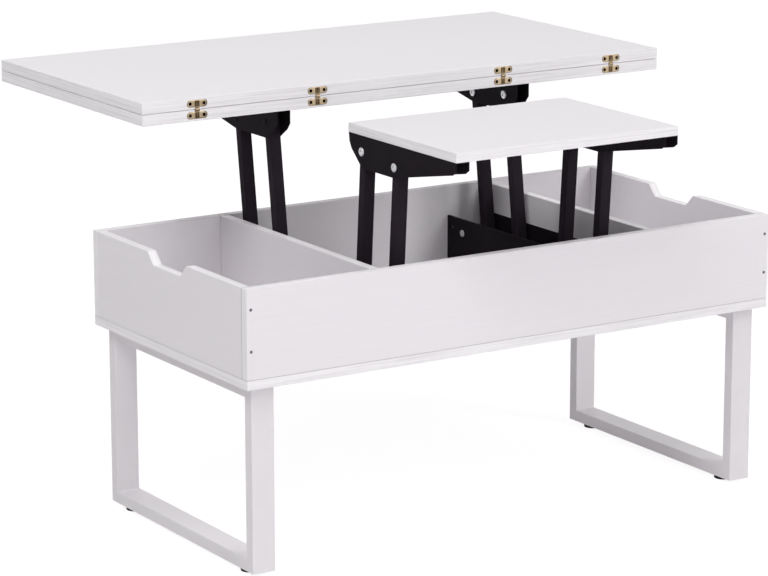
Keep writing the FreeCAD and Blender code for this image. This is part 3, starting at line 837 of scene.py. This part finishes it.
def rivet(sizes):
    """A stem between two domes, the smaller one facing down."""
    closed = [(-sizes["length"] - z, radius) for z, radius in domed(sizes["tail"], rivet_tail_height)]
    stem = [(-sizes["length"] + rivet_tail_height, rivet_shaft), (-sizes["height"], rivet_shaft)]
    return closed[::-1] + stem + domed(sizes["head"], sizes["height"])


def pin(sizes):
    """A bar with eased ends, and with a domed head where the solid has one."""
    end = -sizes["length"]
    bar = [(end, sizes["tail"] - head_ease), (end + head_ease, sizes["tail"])]
    if sizes["head"] - sizes["tail"] < head_ease:
        return bar + [(-head_ease, sizes["tail"]), (0, sizes["tail"] - head_ease)]
    return bar + [(-sizes["height"], sizes["tail"])] + domed(sizes["head"], sizes["height"])


def foot(sizes):
    """A stem over a grooved pad."""
    pad, radius = sizes["height"], sizes["head"]
    stem = [(-sizes["length"], sizes["tail"]), (-pad, sizes["tail"])]
    return stem + [(-pad * up, radius * out) for up, out in foot_shares]


print("dome of a rivet", [round(z / mm, 2) for z, _ in domed(8 * mm, 2 * mm)])

# %% [markdown]
# Now the tree is run for each CAD node, and twice where a node holds bars of two lengths. Screws
# get a cross recess, rivets and pins a dimple, and feet get neither. The screws of the hinges are
# driven a little below the face of their plates.

# %% Screws, rivets, pins and feet
turned_sides = 40
recess_length_share = 1.15
recess_width_share = 0.3
dimple_width_share = 0.75
recess_depth = 1.1 * mm
coat_depth = 12 * mm
beyond_all_parts = 1.0
hinge_screw_sink = 0.3 * mm
turn_seed = 7
turned_kinds = {}
for name in ("panel_screws", "hinge_lower_screws", "hinge_upper_screws"):
    turned_kinds[name] = (countersunk_screw, 1)
for name in ("leg_screws", "channel_screws", "large_bracket_screws", "small_bracket_screws"):
    turned_kinds[name] = (pan_screw, 2)
for side in ("left", "right"):
    for name in ("large_bracket_rivets", "small_bracket_rivets"):
        turned_kinds[side + "_" + name] = (rivet, 0)
    for name in ("base_pivot_pins", "stop_studs"):
        turned_kinds[side + "_" + name] = (pin, 0)
turned_kinds["feet"] = (foot, 2)

for node, (shape, axis) in turned_kinds.items():
    groups = {}
    for places in solids(node):
        sizes = turned_solid(places, axis)
        if node.startswith("hinge"):
            sizes["place"] -= sizes["facing"] * hinge_screw_sink
        groups.setdefault(round(sizes["length"] / mm), []).append(sizes)
    for length, rows in groups.items():
        head = rows[0]["head"]
        is_round = shape in (rivet, pin)
        curve = outline_curve(node + "_outline", shape(rows[0]))
        values = {
            "Outline": curve,
            "Sides": turned_sides,
            "Recess Length": head * recess_length_share,
            "Recess Width": head * (dimple_width_share if is_round else recess_width_share),
            "Recess Depth": 0.0 if shape is foot else recess_depth,
            "Round Recess": is_round,
            "Coated Below": -coat_depth if shape is rivet else -beyond_all_parts,
            "Seed": turn_seed,
            "Finish": finishes[finish_of[node]],
            "Coat": finishes["dark_powder_coat"],
        }
        piece = grow(f"{node}_turned_{length}", node, turned_tree, turned_inputs, rows, values)
        bpy.data.objects.remove(curve)
        print(piece.name, len(rows), "parts", len(piece.data.polygons), "faces")

# %% [markdown]
# The two leaves turn on four brass hinges let into the front edge. Each half is a plate with
# round ends and a bundle of thin links that run through a dark pocket in the plate, out over the
# seam and round the pin. The links of the two halves lie between each other like fingers. One
# tree makes a half: the plate from a filleted rectangle, the links as copies along the pin. The
# lower half is the upper one turned over, so only an angle and the row of links differ.

# %% Sizes of a hinge
plate_height = 11.4 * mm
plate_thickness = 2.0 * mm
plate_ease = 0.35 * mm
plate_ease_scale = 0.88
plate_corner_steps = 10
round_sides = 32
screw_spread = 25.0 * mm
seat_radius = 2.95 * mm
seat_depth = 1.4 * mm
knuckle_radius = 2.2 * mm
link_pitch = 3.2 * mm
link_thickness = 1.35 * mm
link_depth = 1.0 * mm
tongue_inset = 0.03 * mm
link_proud = 0.18 * mm
# Brown tone of the knuckles and necks, and painted shade at the links' ends in the pocket
knuckle_browning = 0.35
link_end_painted_shade = 0.8
pocket_width = 8.4 * mm
pocket_depth = 0.4 * mm
pocket_margin = 1.0 * mm
pocket_proud = 0.02 * mm
neck_width = 8.0 * mm
neck_gap = 0.3 * mm
neck_recess = 0.04 * mm
hinge_halves = {"hinge_upper_plates": (0.0, 2), "hinge_lower_plates": (math.pi, 3)}

pins = [corners(places) for places in solids("hinge_pins")]
pin_centres = [(low + high) / 2 for low, high in pins]
plate_low, plate_high = corners(solids("hinge_upper_plates")[0])
plate_width = plate_high.x - plate_low.x
plate_rise = plate_high.z - plate_height / 2 - pin_centres[0].z
plate_setback = plate_high.y - plate_thickness - pin_centres[0].y
print("hinges", len(pins), "plate", [round(v / mm, 2) for v in (plate_width, plate_rise, plate_setback)])

# %% [markdown]
# The tree of the hinges takes the size and the place of each small piece as a length or a vector.
# A place is measured from the middle of the pin, with the face of the plate a little behind it.

# %% Sizes and places for the tree
link_top = plate_rise + plate_height / 2 - pocket_margin
neck_low = knuckle_radius + neck_gap
hinge_sizes = {
    "Plate Width": plate_width,
    "Plate Height": plate_height,
    "Plate Round": plate_height / 2,
    "Plate Push": plate_thickness - plate_ease,
    "Plate Ease": plate_ease,
    "Plate Place": [0.0, plate_setback + plate_thickness, plate_rise],
    "Seat Radius": seat_radius,
    "Seat Cut": 2 * seat_depth,
    "First Seat": [-screw_spread / 2, 0.0, plate_thickness],
    "Seat Step": [screw_spread, 0.0, 0.0],
    "Link Thickness": link_thickness,
    "Link Top": link_top,
    "Link Step": [link_pitch, 0.0, 0.0],
    "Tongue Size": [link_thickness - 2 * tongue_inset, link_depth, link_top],
    "Tongue Place": [0.0, plate_setback - link_proud + link_depth / 2, link_top / 2],
    "Knuckle Radius": knuckle_radius,
    "Pocket Size": [pocket_width, pocket_depth, plate_height - 2 * pocket_margin],
    "Pocket Place": [0.0, plate_setback - pocket_proud + pocket_depth / 2, plate_rise],
    "Neck Size": [neck_width, plate_thickness, plate_rise - neck_low],
    "Neck Place": [0.0, plate_setback + neck_recess + plate_thickness / 2, (plate_rise + neck_low) / 2],
}
hinge_sockets = {"Places": "Geometry", "Turn": "Float", "Links": "Int", "First Link": "Vector"}
for name, size in hinge_sizes.items():
    hinge_sockets[name] = "Vector" if isinstance(size, list) else "Float"
hinge_sockets["Finish"] = "Material"
hinge_tree, given, hinge_inputs = new_tree("hinge_halves", hinge_sockets)
print("a half hinge has", list(hinge_inputs))

# %% [markdown]
# The plate is a filled outline that is pushed forward twice: once for its thickness, and once a
# little more with its face drawn in, which gives the worn edge of a stamped plate. Everything but
# the face is marked for painted shade, standing in for the dark gap round a plate let into the
# wood. A copy of the outline, turned round, closes the back, and two round seats are cut for the
# screws.

# %% The plate of a hinge
pill = add(
    hinge_tree,
    "GeometryNodeCurvePrimitiveQuadrilateral",
    {"Width": given["Plate Width"], "Height": given["Plate Height"]},
)
pill = {
    "Curve": pill.outputs[0],
    "Count": plate_corner_steps,
    "Radius": given["Plate Round"],
    "Limit Radius": True,
}
pill = add(hinge_tree, "GeometryNodeFilletCurve", pill, mode="POLY")
sheet = add(hinge_tree, "GeometryNodeFillCurve", {"Curve": pill.outputs[0]}, mode="NGONS").outputs[0]
pushed = add(hinge_tree, "GeometryNodeExtrudeMesh", {"Mesh": sheet, "Offset Scale": given["Plate Push"]})
eased = {
    "Mesh": pushed.outputs["Mesh"],
    "Selection": pushed.outputs["Top"],
    "Offset Scale": given["Plate Ease"],
}
eased = add(hinge_tree, "GeometryNodeExtrudeMesh", eased)
drawn_in = add(
    hinge_tree,
    "GeometryNodeScaleElements",
    {"Geometry": eased.outputs["Mesh"], "Selection": eased.outputs["Top"], "Scale": plate_ease_scale},
)
# Painted shade: all but the face of the plate is marked dark, for the gap round it
around = add(hinge_tree, "ShaderNodeMath", {0: 1.0, 1: eased.outputs["Top"]}, operation="SUBTRACT")
rim = {"Geometry": drawn_in.outputs[0], "Name": "pocket_dirt", "Value": around.outputs[0]}
rim = add(hinge_tree, "GeometryNodeStoreNamedAttribute", rim, data_type="FLOAT", domain="POINT")
rear = add(hinge_tree, "GeometryNodeFlipFaces", {"Mesh": sheet})
shell = add(hinge_tree, "GeometryNodeJoinGeometry")
for part in (rim, rear):
    hinge_tree.links.new(part.outputs[0], shell.inputs[0])
shell = {"Geometry": shell.outputs[0], "Distance": merge_distance}
shell = add(hinge_tree, "GeometryNodeMergeByDistance", shell)
seat = add(
    hinge_tree,
    "GeometryNodeMeshCylinder",
    {"Vertices": round_sides, "Radius": given["Seat Radius"], "Depth": given["Seat Cut"]},
)
seat_row = {"Count": 2, "Start Location": given["First Seat"], "Offset": given["Seat Step"]}
seat_row = add(hinge_tree, "GeometryNodeMeshLine", seat_row)
seats = {"Points": seat_row.outputs[0], "Instance": seat.outputs["Mesh"]}
seats = add(hinge_tree, "GeometryNodeInstanceOnPoints", seats)
seats = add(hinge_tree, "GeometryNodeRealizeInstances", {"Geometry": seats.outputs[0]})
shell = add(
    hinge_tree,
    "GeometryNodeMeshBoolean",
    {"Mesh 1": shell.outputs[0], "Mesh 2": seats.outputs[0]},
    operation="DIFFERENCE",
    solver="EXACT",
)
plate = add(
    hinge_tree,
    "GeometryNodeTransform",
    {
        "Geometry": shell.outputs[0],
        "Translation": given["Plate Place"],
        "Rotation": (math.pi / 2, 0.0, 0.0),
    },
)
print("the plate needs", len(hinge_tree.nodes), "nodes so far")

# %% [markdown]
# A link is a flat tongue joined to a round knuckle that is a hair thicker. Its knuckle has a
# brown tone, and painted shade darkens it towards the end in its pocket. A packing block between
# the links fills the space from the plate to the seam, as a solid neck with the brown tone of the
# knuckles. The pocket behind the links is a thin dark panel, fully marked for painted shade, which
# the brass turns to dark brown.

# %% The links and the pocket of a hinge
tongue = add(hinge_tree, "GeometryNodeMeshCube", {"Size": given["Tongue Size"]})
tongue = {"Geometry": tongue.outputs["Mesh"], "Translation": given["Tongue Place"]}
tongue = add(hinge_tree, "GeometryNodeTransform", tongue)
knuckle = add(
    hinge_tree,
    "GeometryNodeMeshCylinder",
    {"Vertices": round_sides, "Radius": given["Knuckle Radius"], "Depth": given["Link Thickness"]},
)
knuckle = add(
    hinge_tree,
    "GeometryNodeTransform",
    {"Geometry": knuckle.outputs["Mesh"], "Rotation": (0.0, math.pi / 2, 0.0)},
)
link = add(hinge_tree, "GeometryNodeMeshBoolean", operation="UNION", solver="EXACT")
for part in (tongue, knuckle):
    hinge_tree.links.new(part.outputs[0], link.inputs["Mesh 2"])
place = add(hinge_tree, "GeometryNodeInputPosition")
place = add(hinge_tree, "ShaderNodeSeparateXYZ", {0: place.outputs[0]})
# Painted shade: the links darken from the knuckle towards their ends in the pocket
brown = {
    "Value": place.outputs["Z"],
    "From Min": given["Knuckle Radius"],
    "From Max": given["Link Top"],
    "To Min": knuckle_browning,
    "To Max": link_end_painted_shade,
}
brown = add(hinge_tree, "ShaderNodeMapRange", brown)
link = add(
    hinge_tree,
    "GeometryNodeStoreNamedAttribute",
    {"Geometry": link.outputs[0], "Name": "pocket_dirt", "Value": brown.outputs[0]},
    data_type="FLOAT",
    domain="POINT",
)
row = {"Count": given["Links"], "Start Location": given["First Link"], "Offset": given["Link Step"]}
row = add(hinge_tree, "GeometryNodeMeshLine", row)
links = {"Points": row.outputs[0], "Instance": link.outputs[0]}
links = add(hinge_tree, "GeometryNodeInstanceOnPoints", links)

# The pocket and the neck are plain blocks that differ in size and place; the neck has the brown tone, the
# pocket painted shade
blocks = []
for name, block_brown_and_shade in (("Neck", knuckle_browning), ("Pocket", 1.0)):
    block = add(hinge_tree, "GeometryNodeMeshCube", {"Size": given[name + " Size"]})
    block = {"Geometry": block.outputs["Mesh"], "Translation": given[name + " Place"]}
    block = add(hinge_tree, "GeometryNodeTransform", block)
    block = {"Geometry": block.outputs[0], "Name": "pocket_dirt", "Value": block_brown_and_shade}
    block = add(hinge_tree, "GeometryNodeStoreNamedAttribute", block, data_type="FLOAT", domain="POINT")
    blocks.append(block)
neck, pocket = blocks
half_hinge = add(hinge_tree, "GeometryNodeJoinGeometry")
for part in (plate, neck, links, pocket):
    hinge_tree.links.new(part.outputs[0], half_hinge.inputs[0])
print("the half hinge needs", len(hinge_tree.nodes), "nodes so far")

# %% [markdown]
# The half hinge is set on the four pin centres, turned over for the lower leaf, and made real.

# %% Set the hinges
over = add(
    hinge_tree, "FunctionNodeAxisAngleToRotation", {"Axis": (0.0, 1.0, 0.0), "Angle": given["Turn"]}
)
copies = add(
    hinge_tree,
    "GeometryNodeInstanceOnPoints",
    {"Points": given["Places"], "Instance": half_hinge.outputs[0], "Rotation": over.outputs[0]},
)
real = add(hinge_tree, "GeometryNodeRealizeInstances", {"Geometry": copies.outputs[0]})
dressed = add(
    hinge_tree,
    "GeometryNodeSetMaterial",
    {"Geometry": creased(hinge_tree, real.outputs[0]), "Material": given["Finish"]},
)
add(hinge_tree, "NodeGroupOutput", {0: dressed.outputs[0]})

rows = [{"place": centre, "facing": Vector((0, -1, 0))} for centre in pin_centres]
for node, (angle, count) in hinge_halves.items():
    values = {
        "Turn": angle,
        "Links": count,
        "First Link": [-(count - 1) * link_pitch / 2, 0.0, 0.0],
        "Finish": finishes["yellow_brass"],
        **hinge_sizes,
    }
    piece = grow(node + "_stamped", node, hinge_tree, hinge_inputs, rows, values)
    low, high = corners([vertex.co for vertex in piece.data.vertices])
    print(piece.name, len(piece.data.polygons), "faces", [round(v, 4) for v in (*low, *high)])
